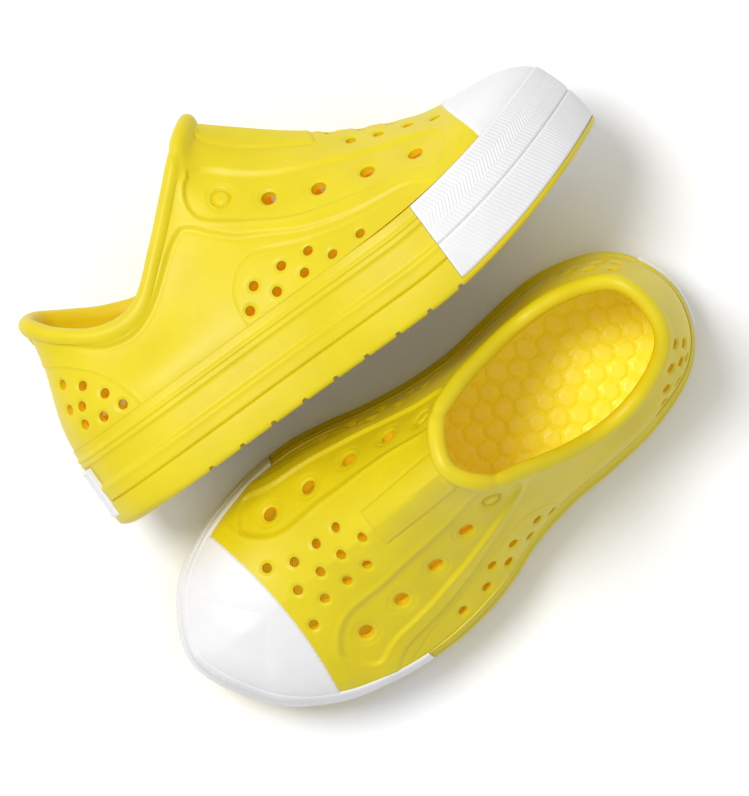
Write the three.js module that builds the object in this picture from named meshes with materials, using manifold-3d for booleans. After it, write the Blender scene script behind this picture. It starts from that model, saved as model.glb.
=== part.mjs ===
// A pair of child's slip-on garden clogs moulded in EVA foam, in millimetres, +Z up.
// The left clog stands on its sole with its toe towards +X. The right clog, its mirror image,
// lies beside it on its inner side. The origin is the bottom centre of the pair's bounding box.
//
// A clog is drawn in its own frame: x runs from the heel to the toe, y towards the wearer's left
// and z up from the floor. The left clog is drawn, and the right one is mirrored from it.

import * as THREE from "three";
import { mergeVertices, toCreasedNormals } from "three/addons/utils/BufferGeometryUtils.js";
import Module from "manifold-3d";

const wasm = await Module();
wasm.setup();
const V = (x, y, z) => new THREE.Vector3(x, y, z);

// ---- Driving dimensions -------------------------------------------------------------------------
const LENGTH = 184; // of the sole, heel to toe
const BALL_WIDTH = 80; // across the sole at the ball of the foot
const TONGUE_HEIGHT = 88.5; // floor to the crest of the tongue
const FEATHER_HEIGHT = 27; // floor to the line where the upper leaves the sole
const TOE_SPRING = 15; // rise of the sole's tip
const SPRING_LENGTH = 70; // part of the sole that rises, back from the tip

const WALL = 3; // upper's wall
const RIM_RADIUS = 2.5; // rolled edge of the foot opening
const LEDGE = 1.2; // the upper stands in from the sole's side by this
const CLEARANCE = 0.3; // between neighbouring pieces

const OUTSOLE_HEIGHT = 9; // floor to the line between outsole and midsole
const OUTSOLE_EDGE = 1.2; // rounding of the outsole's lower edge
const TREAD_PITCH = 11.2; // from one cross groove of the tread to the next
const TREAD_COUNT = 9;
const TREAD_START = 35; // first cross groove, from the heel
const TREAD_WIDTH = 2;
const TREAD_DEPTH = 1.6;

const SOLE_WALL = 4.6; // width of the midsole's upper edge
const CUP_FLOOR = 14.5; // floor to the seat of the footbed
const FOOTBED_THICKNESS = 3;

const BAND_LENGTH = 57.5; // the two toe bands reach back this far from the tip
const BAND_THICKNESS = 2.1;
const BAND_SPLIT = 13.4; // height of the line between them
const BAND_BOTTOM = 1.9; // height of outsole left showing below them

const CAP_LENGTH = 34.3; // toe cap, back from the tip along the middle
const CAP_SWEEP = 3.5; // its rear edge curves forward by this over CAP_HALF to each side
const CAP_HALF = 28.5;
const CAP_THICKNESS = 1.8;
const CAP_PROUD = 0.5; // it stands proud of the upper by this

const EYELET_BORE = 4.2;
const EYELET_RECESS = 9; // ring round an eyelet
const RECESS_DEPTH = 0.7;
const PERFORATION_BORE = 3.1;

const BADGE_WIDTH = 27;
const BADGE_BOTTOM = 4.6;
const BADGE_TOP = 20.8;
const BADGE_THICKNESS = 1.5;
const BADGE_PROUD = 0.5;

// The right clog's pose: turned to face the other way, laid on its inner side and nose up a little
// because the ball of the foot is wider than the heel.
const LYING = { roll: -85.4, pitch: -3.8, yaw: 176.3 }; // degrees about x, then y, then z
const LYING_HEEL = { x: 171.1, y: -48.2 }; // where its heel is, in the left clog's frame

const STEPS_PER_RIB = 2; // samples round the upper between two ribs
const LEVELS = 6; // samples from the feather line to the top
const SOLE_STEPS = 52; // samples round each piece of the sole

// ---- The last -----------------------------------------------------------------------------------
// One row for each rib of the upper, from the middle of the heel (0) to the tip of the toe (13), at
// the size given by LAST. Ribs 0 to 8 end on the rim of the foot opening, 8 to 13 on the ridge.
// sole: x, then y on the outer and on the inner side. lean: the sole's side leans in by this.
// rim: x, y outer, y inner, z outer, z inner of the centre of the rolled edge. ridge: x, y, z.
const LAST = { length: 184, width: 80, tongue: 88.5, feather: 27 };
const RIBS = [
  { sole: [-1.2, 1, 1], lean: 0.6, rim: [11.8, 0, 0, 66, 66] },
  { sole: [3, 15.4, -13.9], lean: 0.6, rim: [14, 9.6, -9.6, 64, 65.5] },
  { sole: [12.9, 25.2, -23.3], lean: 1.1, rim: [21, 15.7, -15.2, 57, 61] },
  { sole: [29.5, 31, -28.6], lean: 2, rim: [32, 19.4, -18.8, 50.3, 54.5] },
  { sole: [48, 32.7, -28.4], lean: 2.2, rim: [44, 20.2, -19.8, 50.3, 51.5] },
  { sole: [64, 32.8, -27.3], lean: 2.2, rim: [57, 18, -18.8, 60.5, 60.5] },
  { sole: [80, 35.1, -28.6], lean: 2.2, rim: [69, 14, -17, 71.5, 71.5] },
  { sole: [95, 39.8, -31.6], lean: 2.2, rim: [80, 9.6, -12.4, 81.8, 81.8] },
  { sole: [108, 42, -35.3], lean: 2.2, rim: [86, -0.8, -0.8, 86, 86] },
  { sole: [122, 42.3, -37.8], lean: 2.2, ridge: [108, -0.8, 65] },
  { sole: [140, 39.7, -37.2], lean: 2.6, ridge: [125, -0.8, 54] },
  { sole: [158, 33.2, -33], lean: 3.4, ridge: [141, -0.8, 47.6] },
  { sole: [174, 20, -23.6], lean: 4.6, ridge: [154, -0.9, 45.2] },
  { sole: [183.9, -3.6, -3.6], lean: 5.2, ridge: [162, -1, 44.4] },
];

// How each rib bends, on the outer and on the inner side. It leaves the sole leaning in by the first
// number while it rises by the second, and reaches its top from the third outside and the fourth below.
const BENDS = [
  { outer: [1, 13, 1.5, 13], inner: [1, 13, 1.5, 13] },
  { outer: [1, 13, 1.5, 13], inner: [1, 13, 1.5, 13] },
  { outer: [0.7, 11, 1.5, 11], inner: [0.7, 11, 1.5, 11] },
  { outer: [0.5, 8, 1.5, 8], inner: [0.5, 8, 1.5, 8] },
  { outer: [0.5, 8, 2, 8], inner: [0.5, 8, 2, 8] },
  { outer: [1, 9, 2, 11], inner: [1, 9, 2, 11] },
  { outer: [1.8, 10.2, 2.1, 13.9], inner: [2, 10, 2, 14] },
  { outer: [7.7, 7.7, 2.1, 17.1], inner: [4, 10, 2, 16] },
  { outer: [9.9, 7.3, 4.5, 14.4], inner: [5, 9, 9.5, 7] },
  { outer: [7.3, 8.7, 7.8, 8.2], inner: [3.3, 8.4, 9.7, 4.2] },
  { outer: [7, 6.3, 11.3, 5.3], inner: [3.8, 7, 13.6, 3.1] },
  { outer: [3.8, 7.1, 13, 2.2], inner: [1.8, 7.7, 14.8, 0.2] },
  { outer: [2, 5, 11, 0.3], inner: [2, 5, 11, 0] },
  { outer: [2, 2.5, 7, 0], inner: [2, 2.5, 7, 0] },
];
const TONGUE = 8; // rib at the tip of the tongue, where the rim ends and the ridge starts
const TOE = RIBS.length - 1;
const ROUND = 2 * TOE; // ribs all the way round

// The rolled edge's section, outwards and up from its centre, in radii: out of the upper's wall,
// over the crest and down to the lining.
const ROLL = [
  [0.5, -1.3],
  [1, -0.6],
  [0.7, 0.7],
  [0, 1],
  [-0.7, 0.7],
  [-0.8, -1.3],
];

// Holes of the vamp: x, then y out from its middle. Holes of the sides: x, z.
const MIDDLE = -0.8; // y of the vamp's middle
const EYELETS = [
  [107.2, 20.6],
  [121.6, 21.7],
  [135.7, 22.9],
  [93.6, 18.1],
];
const BLIND_EYELET = [82.4, 16];
const VAMP_HOLES = [
  [117.6, 0],
  [125.8, 0],
  [134.1, 0],
  [143.2, 0],
  [121.8, 6.8],
  [129.8, 6.8],
  [138.6, 6.8],
  [146, 10.9],
];
const SIDE_HOLES = [
  [75.9, 35.8],
  [85.8, 35.8],
  [94.7, 34.7],
  [70.7, 30.4],
  [80.5, 30.4],
  [90.4, 30.2],
  [100.3, 29.9],
  [110, 29.9],
];
const HEEL_HOLES = [
  [11.5, 45.6],
  [17, 41.9],
  [8.9, 38.3],
  [13, 37.2],
  [21.4, 36.4],
  [10.6, 32.2],
  [17.1, 31],
  [24.3, 30.6],
];

const stretchX = LENGTH / LAST.length;
const stretchY = BALL_WIDTH / LAST.width;
const stretchZ = (TONGUE_HEIGHT - FEATHER_HEIGHT) / (LAST.tongue - LAST.feather);
const heightOf = (z) => FEATHER_HEIGHT + (z - LAST.feather) * stretchZ;

// ---- Curves of the last -------------------------------------------------------------------------
// A smooth value at place s through the numbers valueAt(i) at whole places.
function smooth(s, valueAt) {
  const i = Math.floor(s);
  const t = s - i;
  const [a, b, c, d] = [valueAt(i - 1), valueAt(i), valueAt(i + 1), valueAt(i + 2)];
  return b + 0.5 * t * (c - a + t * (2 * a - 5 * b + 4 * c - d + t * (3 * (b - c) + d - a)));
}

// Places round the clog count ribs: 0 heel, TOE toe by the outer side, -TOE toe by the inner side.
const wrap = (i, period) => i - period * Math.round(i / period);
const ribAt = (i) => RIBS[Math.abs(wrap(i, ROUND))];
const isInner = (i, period) => wrap(i, period) < 0;

const soleX = (s) => stretchX * smooth(s, (i) => ribAt(i).sole[0]);
const soleY = (s) => stretchY * smooth(s, (i) => ribAt(i).sole[isInner(i, ROUND) ? 2 : 1]);
const leanAt = (s) => smooth(s, (i) => ribAt(i).lean);
const bendAt = (s, k) =>
  smooth(s, (i) => BENDS[Math.abs(wrap(i, ROUND))][isInner(i, ROUND) ? "inner" : "outer"][k]);

// Unit vector in plan out of the sole's edge at place s.
function outwardAt(s) {
  const step = 1e-3;
  return V(soleY(s - step) - soleY(s + step), soleX(s + step) - soleX(s - step), 0).normalize();
}

// The outline of the sole moved in by inset.
function outlineAt(s, inset) {
  return V(soleX(s), soleY(s), 0).addScaledVector(outwardAt(s), -inset);
}

function springAt(x) {
  const share = Math.max(0, (x - LENGTH + SPRING_LENGTH) / SPRING_LENGTH);
  return TOE_SPRING * share ** 1.75;
}

// A point of the sole's side at a height above its underside, moved in by inset.
function soleAt(s, height, inset) {
  const share = height / FEATHER_HEIGHT;
  const point = outlineAt(s, inset + leanAt(s) * share ** 2);
  point.z = height + springAt(point.x) * (1 - 0.13 * share);
  return point;
}

// The centre of the rolled edge, a closed curve through the rim ribs.
function rimAt(s) {
  const value = (outer, inner) =>
    smooth(s, (i) => RIBS[Math.abs(wrap(i, 2 * TONGUE))].rim[isInner(i, 2 * TONGUE) ? inner : outer]);
  return V(stretchX * value(0, 0), stretchY * value(1, 2), heightOf(value(3, 4)));
}

// A point of the rolled edge's section, outwards and up from its centre in radii.
function rollAt(s, [out, up]) {
  const step = 1e-3;
  const along = rimAt(s + step).sub(rimAt(s - step)).setZ(0).normalize();
  return rimAt(s)
    .addScaledVector(V(-along.y, along.x, 0), out * RIM_RADIUS)
    .addScaledVector(V(0, 0, 1), up * RIM_RADIUS);
}

// The ridge runs from the foot of the rolled edge at the tongue's tip to the toe.
function ridgeAt(s) {
  const start = rollAt(TONGUE, ROLL[0]);
  const rowAt = (i) => RIBS[Math.min(Math.max(i, TONGUE + 1), TOE)].ridge;
  const value = (k, first, scale) => smooth(Math.abs(s), (i) => (i <= TONGUE ? first : scale(rowAt(i)[k])));
  return V(
    value(0, start.x, (x) => x * stretchX),
    value(1, start.y, (y) => y * stretchY),
    value(2, start.z, heightOf),
  );
}

function ridgeSlope(s) {
  const step = 1e-2;
  const from = ridgeAt(Math.max(Math.abs(s) - step, TONGUE));
  const to = ridgeAt(Math.min(Math.abs(s) + step, TOE));
  return (to.z - from.z) / (to.x - from.x);
}

const onVamp = (s) => Math.abs(s) >= TONGUE;

// A point of the upper's outside: level 0 on the feather line, level 1 on the rim or the ridge.
function upperAt(s, level) {
  const out = outwardAt(s);
  const foot = soleAt(s, FEATHER_HEIGHT, LEDGE).add(V(0, 0, CLEARANCE));
  const top = onVamp(s) ? ridgeAt(s) : rollAt(s, ROLL[0]);
  const low = foot.clone().addScaledVector(out, -bendAt(s, 0)).add(V(0, 0, bendAt(s, 1)));
  const high = top.clone().addScaledVector(out, bendAt(s, 2)).sub(V(0, 0, bendAt(s, 3)));
  if (Math.abs(s) > TONGUE) high.z += ridgeSlope(s) * (high.x - top.x) * Math.min(1, Math.abs(s) - TONGUE);
  return new THREE.CubicBezierCurve3(foot, low, high, top).getPoint(level);
}

// The same point moved out along the surface by offset. The foot stays on the feather line and the
// ridge in the middle, so the two sides always meet.
function shellAt(s, level, offset) {
  const point = upperAt(s, level);
  const step = 1e-3;
  const round = upperAt(s + step, level).sub(upperAt(s - step, level));
  const up = upperAt(s, Math.min(level + step, 1)).sub(upperAt(s, Math.max(level - step, 0)));
  const normal = up.cross(round).normalize();
  if (level === 0) normal.setZ(0).normalize();
  if (level === 1 && onVamp(s)) normal.set(-ridgeSlope(s), 0, 1).normalize();
  return point.addScaledVector(normal, offset);
}

// ---- Solids -------------------------------------------------------------------------------------
function solidOf(positions) {
  const soup = new THREE.BufferGeometry();
  soup.setAttribute("position", new THREE.Float32BufferAttribute(positions, 3));
  return solidFrom(soup);
}

function solidFrom(geometry) {
  const bare = new THREE.BufferGeometry();
  bare.setAttribute("position", geometry.getAttribute("position"));
  bare.setIndex(geometry.getIndex());
  const welded = mergeVertices(bare, 1e-4);
  const index = welded.getIndex().array;
  const kept = [];
  for (let i = 0; i < index.length; i += 3) {
    const [a, b, c] = index.slice(i, i + 3);
    if (a !== b && b !== c && c !== a) kept.push(a, b, c);
  }
  const mesh = new wasm.Mesh({
    numProp: 3,
    vertProperties: new Float32Array(welded.getAttribute("position").array),
    triVerts: new Uint32Array(kept),
  });
  return new wasm.Manifold(mesh);
}

// Triangles between consecutive rings of points; skip(ring, k) leaves a gap.
function skin(rings, skip = () => false) {
  const positions = [];
  rings.slice(1).forEach((above, r) => {
    const below = rings[r];
    below.forEach((a, k) => {
      if (skip(r, k)) return;
      const next = (k + 1) % below.length;
      for (const p of [a, above[k], below[next], below[next], above[k], above[next]]) positions.push(p.x, p.y, p.z);
    });
  });
  return positions;
}

// A flat or curved end across a ring, made of strips from its outer to its inner side.
function lid(ring, facingUp) {
  const n = ring.length;
  const positions = [];
  for (let k = 0; k < n / 2; k += 1) {
    const quad = [ring[(n - k) % n], ring[n - k - 1], ring[k + 1], ring[k]];
    if (!facingUp) quad.reverse();
    for (const i of [0, 1, 2, 0, 2, 3]) positions.push(quad[i].x, quad[i].y, quad[i].z);
  }
  return positions;
}

// A solid stacked from rings round the clog.
function stack(rings) {
  return solidOf([...skin(rings), ...lid(rings[0], false), ...lid(rings.at(-1), true)]);
}

// Places round the clog for a ring of n points.
const placesRound = (n) => Array.from({ length: n }, (_, k) => wrap((k * ROUND) / n, ROUND));

// Rings of the sole from [height, inset] pairs.
function soleStack(profile) {
  return stack(profile.map(([height, inset]) => placesRound(SOLE_STEPS).map((s) => soleAt(s, height, inset))));
}

// A band round part of the sole's side, between two insets, two heights and two places.
function soleBand({ from, to, steps, bottom, top, outer, inner }) {
  const heights = [bottom, (bottom + top) / 2, top];
  const section = (s) => [
    ...heights.map((height) => soleAt(s, height, outer)),
    ...heights.toReversed().map((height) => soleAt(s, height, inner)),
  ];
  const sections = Array.from({ length: steps + 1 }, (_, k) => section(from + ((to - from) * k) / steps));
  const positions = skin(sections.reverse());
  for (const [end, flip] of [
    [sections[0], false],
    [sections.at(-1), true],
  ]) {
    for (const [a, b, c, d] of [
      [0, 1, 4, 5],
      [1, 2, 3, 4],
    ]) {
      const order = flip ? [a, c, b, a, d, c] : [a, b, c, a, c, d];
      for (const i of order) positions.push(end[i].x, end[i].y, end[i].z);
    }
  }
  return solidOf(positions);
}

// The place, on one side of the clog, where the outline satisfies measure(s) = target.
function placeWhere(measure, target, [low, high]) {
  for (let pass = 0; pass < 40; pass += 1) {
    const middle = (low + high) / 2;
    if (measure(middle) < target) low = middle;
    else high = middle;
  }
  return (low + high) / 2;
}

// ---- Upper --------------------------------------------------------------------------------------
// A shell following the upper between two offsets. With a rim it carries the rolled edge.
function shell(outer, inner) {
  const places = placesRound(ROUND * STEPS_PER_RIB);
  const levels = Array.from({ length: LEVELS + 1 }, (_, k) => k / LEVELS);
  const wallRings = (offset) => levels.map((level) => places.map((s) => shellAt(s, level, offset)));
  const lining = wallRings(inner).reverse();
  lining[0] = places.map((s) => (onVamp(s) ? shellAt(s, 1, inner) : rollAt(s, ROLL.at(-1))));
  const roll = ROLL.slice(1, -1).map((section) => places.map((s) => rollAt(onVamp(s) ? TONGUE : s, section)));
  const outside = wallRings(outer);
  const rings = [...outside, ...roll, ...lining, outside[0]];
  const rolled = (r) => r >= LEVELS && r < LEVELS + ROLL.length - 1;
  const beyondTongue = (k) => Math.abs(places[k]) + Math.abs(places[(k + 1) % places.length]) > 2 * TONGUE;
  return solidOf(skin(rings, (r, k) => rolled(r) && beyondTongue(k)));
}

function makeTarget() {
  const places = placesRound(ROUND * STEPS_PER_RIB);
  const rings = Array.from({ length: LEVELS + 1 }, (_, k) => places.map((s) => shellAt(s, k / LEVELS, 0)));
  const geometry = new THREE.BufferGeometry();
  geometry.setAttribute("position", new THREE.Float32BufferAttribute(skin(rings), 3));
  return new THREE.Mesh(geometry, new THREE.MeshBasicMaterial({ side: THREE.DoubleSide }));
}
const target = makeTarget();

// A round cutter square to the upper where a line of sight from outside first meets it.
function drill(origin, direction, bore, depth, sides) {
  const [hit] = new THREE.Raycaster(origin, direction).intersectObject(target);
  const normal = hit.face.normal.clone();
  if (normal.dot(direction) > 0) normal.negate();
  const cutter = new THREE.CylinderGeometry(bore / 2, bore / 2, depth + 3, sides);
  cutter.translate(0, (3 - depth) / 2, 0);
  cutter.applyQuaternion(new THREE.Quaternion().setFromUnitVectors(V(0, 1, 0), normal));
  cutter.translate(hit.point.x, hit.point.y, hit.point.z);
  return solidFrom(cutter);
}

const THROUGH = WALL + 2;
const fromAbove = ([x, y], bore, depth, sides) =>
  drill(V(x * stretchX, y * stretchY, 300), V(0, 0, -1), bore, depth, sides);
const fromSide = ([x, z], side, bore) =>
  drill(V(x * stretchX, side * 200, heightOf(z)), V(0, -side, 0), bore, THROUGH, 5);

function holeCutters() {
  const cutters = [];
  for (const side of [1, -1]) {
    const across = ([x, y]) => [x, MIDDLE + side * y];
    for (const eyelet of EYELETS) cutters.push(fromAbove(across(eyelet), EYELET_BORE, THROUGH, 8));
    for (const eyelet of [...EYELETS, BLIND_EYELET]) {
      cutters.push(fromAbove(across(eyelet), EYELET_RECESS, RECESS_DEPTH, 8));
    }
    for (const hole of [...SIDE_HOLES, ...HEEL_HOLES]) cutters.push(fromSide(hole, side, PERFORATION_BORE));
    for (const hole of VAMP_HOLES) {
      if (hole[1] > 0 || side > 0) cutters.push(fromAbove(across(hole), PERFORATION_BORE, THROUGH, 5));
    }
  }
  return cutters;
}

// Everything in front of the toe cap's rear edge, that edge moved back by margin.
function capRegion(margin) {
  const reach = 2 * CAP_HALF;
  const middle = LENGTH - CAP_LENGTH - margin;
  const side = middle + CAP_SWEEP * (reach / CAP_HALF) ** 2;
  const shape = new THREE.Shape();
  shape.moveTo(side, reach);
  shape.quadraticCurveTo(2 * middle - side, 0, side, -reach);
  shape.lineTo(LENGTH + 20, -reach);
  shape.lineTo(LENGTH + 20, reach);
  return solidFrom(new THREE.ExtrudeGeometry(shape, { depth: 150, bevelEnabled: false, curveSegments: 12 }));
}

const makeToeCap = () => shell(CAP_PROUD, CAP_PROUD - CAP_THICKNESS).intersect(capRegion(0));

function makeUpper() {
  const room = shell(CAP_PROUD + 4, CAP_PROUD - CAP_THICKNESS - CLEARANCE).intersect(capRegion(CLEARANCE));
  const capSeat = room.add(room.translate([0, 0, -1]));
  const cutters = wasm.Manifold.union(holeCutters());
  return shell(0, -WALL).subtract(capSeat).subtract(cutters);
}

// ---- Sole ---------------------------------------------------------------------------------------
const bandRear = placeWhere(soleX, LENGTH - BAND_LENGTH, [0, TOE]);

function toeBand(bottom, top, inner, rear) {
  return soleBand({ from: rear, to: ROUND - rear, steps: 22, bottom, top, outer: 0, inner });
}
const makeToeFoxing = () => toeBand(BAND_BOTTOM, BAND_SPLIT, BAND_THICKNESS, bandRear);
const makeToeBumper = () => toeBand(BAND_SPLIT + CLEARANCE, FEATHER_HEIGHT, BAND_THICKNESS, bandRear);

// The room the toe bands and the badge take out of the sole, with their clearance.
function bandSeat() {
  const rear = placeWhere(soleX, LENGTH - BAND_LENGTH - CLEARANCE, [0, TOE]);
  return soleBand({
    from: rear,
    to: ROUND - rear,
    steps: 22,
    bottom: BAND_BOTTOM - CLEARANCE,
    top: FEATHER_HEIGHT + 5,
    outer: -5,
    inner: BAND_THICKNESS + CLEARANCE,
  });
}

function badgeBand(margin, outer, inner) {
  const half = BADGE_WIDTH / 2 + margin;
  const from = placeWhere(soleY, RIBS[0].sole[1] * stretchY - half, [-3, 0]);
  const to = placeWhere(soleY, RIBS[0].sole[1] * stretchY + half, [0, 3]);
  return soleBand({ from, to, steps: 8, bottom: BADGE_BOTTOM - margin, top: BADGE_TOP + margin, outer, inner });
}
const makeBadge = () => badgeBand(0, -BADGE_PROUD, BADGE_THICKNESS - BADGE_PROUD);
const badgeSeat = () => badgeBand(CLEARANCE, -5, BADGE_THICKNESS - BADGE_PROUD + CLEARANCE);

function makeOutsole() {
  const slab = soleStack([
    [0, OUTSOLE_EDGE],
    [OUTSOLE_EDGE, 0],
    [OUTSOLE_HEIGHT - 1.5, 0],
    [OUTSOLE_HEIGHT, 1],
  ]);
  const groove = new THREE.BoxGeometry(TREAD_WIDTH, 2 * BALL_WIDTH, 2 * TREAD_DEPTH);
  const grooves = Array.from({ length: TREAD_COUNT }, (_, k) => {
    const x = (TREAD_START + k * TREAD_PITCH) * stretchX;
    return solidFrom(groove.clone().translate(x, 0, springAt(x)));
  });
  return slab.subtract(wasm.Manifold.union(grooves)).subtract(bandSeat()).subtract(badgeSeat());
}

function makeMidsole() {
  const cup = soleStack([
    [OUTSOLE_HEIGHT + CLEARANCE, 0.8],
    [OUTSOLE_HEIGHT + 1, 0],
    [OUTSOLE_HEIGHT + 5, 0],
    [OUTSOLE_HEIGHT + 6, 0.9],
    [FEATHER_HEIGHT - 5.8, 0.9],
    [FEATHER_HEIGHT - 4.9, 0.3],
    [FEATHER_HEIGHT - 3.3, 0.3],
    [FEATHER_HEIGHT - 2.4, 0.9],
    [FEATHER_HEIGHT, 0.9],
    [FEATHER_HEIGHT, SOLE_WALL],
    [CUP_FLOOR, SOLE_WALL + 1],
  ]);
  return cup.subtract(bandSeat()).subtract(badgeSeat());
}

function makeFootbed() {
  const bottom = CUP_FLOOR + CLEARANCE;
  const top = bottom + FOOTBED_THICKNESS;
  return soleStack([
    [bottom, SOLE_WALL + 1 + CLEARANCE],
    [top - 0.6, SOLE_WALL + 1 + CLEARANCE],
    [top, SOLE_WALL + 1.8 + CLEARANCE],
  ]);
}

// ---- The pair -----------------------------------------------------------------------------------
const yellowFoam = { color: 0xe8da23, roughness: 0.62, metalness: 0 };
const yellowInside = { color: 0xe3cf1f, roughness: 0.7, metalness: 0 };
const whiteRubber = { color: 0xf0f0f0, roughness: 0.5, metalness: 0 };

const PIECES = [
  { name: "outsole", make: makeOutsole, finish: yellowFoam },
  { name: "midsole", make: makeMidsole, finish: yellowFoam },
  { name: "footbed", make: makeFootbed, finish: yellowInside },
  { name: "upper", make: makeUpper, finish: yellowFoam },
  { name: "toe_cap", make: makeToeCap, finish: whiteRubber },
  { name: "toe_bumper", make: makeToeBumper, finish: whiteRubber },
  { name: "toe_foxing", make: makeToeFoxing, finish: whiteRubber },
  { name: "heel_badge", make: makeBadge, finish: whiteRubber },
];

function geometryOf(solid) {
  const { vertProperties, triVerts } = solid.getMesh();
  const geometry = new THREE.BufferGeometry();
  geometry.setAttribute("position", new THREE.BufferAttribute(vertProperties, 3));
  geometry.setIndex(new THREE.BufferAttribute(triVerts, 1));
  return toCreasedNormals(geometry, 0.6);
}

function clog(side, solids) {
  const group = new THREE.Group();
  PIECES.forEach(({ name, finish }, k) => {
    const mesh = new THREE.Mesh(geometryOf(solids[k]), new THREE.MeshStandardMaterial(finish));
    mesh.name = `${side}_${name}`;
    group.add(mesh);
  });
  return group;
}

function poseOfLyingClog(solids) {
  const { roll, pitch, yaw } = LYING;
  const turned = solids.map((solid) => solid.mirror([0, 1, 0]).rotate([roll, pitch, yaw]));
  const lowest = Math.min(...turned.map((solid) => solid.boundingBox().min[2]));
  return turned.map((solid) => solid.translate([LYING_HEEL.x, LYING_HEEL.y, -lowest]));
}

const solids = PIECES.map(({ make }) => make());
const group = new THREE.Group();
group.name = "garden_clogs";
group.add(clog("left", solids), clog("right", poseOfLyingClog(solids)));
const box = new THREE.Box3().setFromObject(group, true);
const centre = box.getCenter(V(0, 0, 0));
for (const one of group.children) one.position.set(-centre.x, -centre.y, -box.min.z);
group.updateMatrixWorld(true);

export default group;
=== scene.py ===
"""A pair of child's slip-on foam garden clogs: the left one standing, the right one on its side.

A clog is built once, in millimetres in its own frame: x from heel to toe, y to the wearer's left and z
up from the floor. The left clog's meshes are that shape, and the right clog's are its mirror image.
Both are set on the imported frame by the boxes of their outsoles.
"""

import math

import bmesh
import bpy
import numpy as np
from mathutils import Matrix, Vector
from mathutils.kdtree import KDTree


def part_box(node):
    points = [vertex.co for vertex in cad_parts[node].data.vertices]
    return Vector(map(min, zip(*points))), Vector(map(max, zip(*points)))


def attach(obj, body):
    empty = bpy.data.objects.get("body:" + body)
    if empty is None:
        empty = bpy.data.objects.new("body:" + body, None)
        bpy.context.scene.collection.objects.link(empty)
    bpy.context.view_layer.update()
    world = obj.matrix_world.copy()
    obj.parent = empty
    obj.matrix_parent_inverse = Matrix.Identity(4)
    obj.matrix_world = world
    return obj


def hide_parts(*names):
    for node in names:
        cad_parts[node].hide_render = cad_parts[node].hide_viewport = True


# ---- Sizes of one clog, in millimetres ----------------------------------------------------------
LENGTH = 184.0
FEATHER_HEIGHT = 27.0  # where the upper sits on the midsole
TOE_SPRING = 15.0  # how far the toe curves up from the floor
SPRING_LENGTH = 70.0
SPRING_CURVE = 1.75
SPRING_LOSS = 0.13  # share of the spring that is lost up at the feather line
WALL = 3.0
RIM_RADIUS = 2.5
LEDGE = 1.2  # how far the upper stands in from the midsole's side
CLEARANCE = 0.3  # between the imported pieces
SEAT_GAP = 0.07  # between the visible pieces, where a seam shows
OUTSOLE_HEIGHT = 9.0
TREAD_PITCH = 11.2
TREAD_COUNT = 9
TREAD_START = 35.0
HEEL_ROUND = 3.0
TREAD_WIDTH = 1.2
TREAD_DEPTH = 1.1
TREAD_FLARE = 0.4
SOLE_WALL = 4.6
CUP_FLOOR = 14.5
FOOTBED_THICKNESS = 3.0
BAND_LENGTH = 57.5
BAND_THICKNESS = 2.1
BAND_SPLIT = 13.4
BAND_BOTTOM = 1.9
CAP_LENGTH = 34.3
CAP_SWEEP = 3.5  # how much shorter the cap is at its sides
CAP_HALF = 28.5
CAP_THICKNESS = 1.8
CAP_PROUD = 0.5
CAP_EDGE = 0.8
CAP_EDGE_DROP = 0.7
EYELET_BORE = 4.6
EYELET_RING = 4.3
PERFORATION_BORE = 3.1
HEX_PITCH = 6.6
KNURL_PITCH = 1.25
KNURL_LEAN = 0.5
KNURL_DEPTH = 0.26
MIDDLE = -0.8  # y of the middle of the vamp
BADGE_WIDTH = 27.0
BADGE_BOTTOM = 4.6
BADGE_TOP = 20.8
BADGE_THICKNESS = 1.5
BADGE_PROUD = 0.5
LYING = (-85.4, -3.8, 176.3)  # the right clog's turn about x, y and z, in degrees

# Heights and depths of the upper's moulded detail
COLLAR_BAND_RISE = 0.75
CHANNEL_DEPTH = 0.85
CHANNEL_LIP = 0.22
FRAME_LIP = 0.16
SIDE_STEP = 0.35
ARCH_STEP = 0.22
HEEL_STEP = 0.3
EDGE_GROOVE = 0.12
FADE_MIDDLE = 136  # x where the raised panels fade out, so that they stay under the toe cap
FADE_LENGTH = 20
TONGUE_HALF = 5.4
TONGUE_REAR = 84
TONGUE_FRONT = 113.0
TONGUE_RISE = 0.35
TONGUE_GROOVE = 0.25
RING_SINK = 0.2
BLIND_GROOVE = 0.85
EYELET_BEVEL = 0.55
PERFORATION_BEVEL = 0.45
NOTCH_PLACE = 6.75  # rib place of the notch in the rolled edge, beside the tongue
NOTCH_SHARE = 0.16
NOTCH_WIDTH = 0.13

# ---- The last: ribs of the upper from the heel (0) to the toe (13) -------------------------------
# sole's edge: x, outer y, inner y, and how far it leans in
RIBS = np.array(
    [
        [-1.2, 1, 1, 0.6],
        [3, 15.4, -13.9, 0.6],
        [12.9, 25.2, -23.3, 1.1],
        [29.5, 31, -28.6, 2],
        [48, 32.7, -28.4, 2.2],
        [64, 32.8, -27.3, 2.2],
        [80, 35.1, -28.6, 2.2],
        [95, 39.8, -31.6, 2.2],
        [108, 42, -35.3, 2.2],
        [122, 42.3, -37.8, 2.2],
        [140, 39.7, -37.2, 2.6],
        [158, 33.2, -33, 3.4],
        [174, 20, -23.6, 4.6],
        [183.9, -3.6, -3.6, 5.2],
    ]
)
# rim of the foot opening, on ribs 0 to 8: x, outer y, inner y, outer z, inner z
RIMS = np.array(
    [
        [11.8, 0, 0, 66, 66],
        [14, 9.6, -9.6, 64, 65.5],
        [21, 15.7, -15.2, 57, 61],
        [32, 19.4, -18.8, 50.3, 54.5],
        [44, 20.2, -19.8, 50.3, 51.5],
        [57, 18, -18.8, 60.5, 60.5],
        [69, 14, -17, 71.5, 71.5],
        [80, 9.6, -12.4, 81.8, 81.8],
        [86, -0.8, -0.8, 86, 86],
    ]
)
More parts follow.
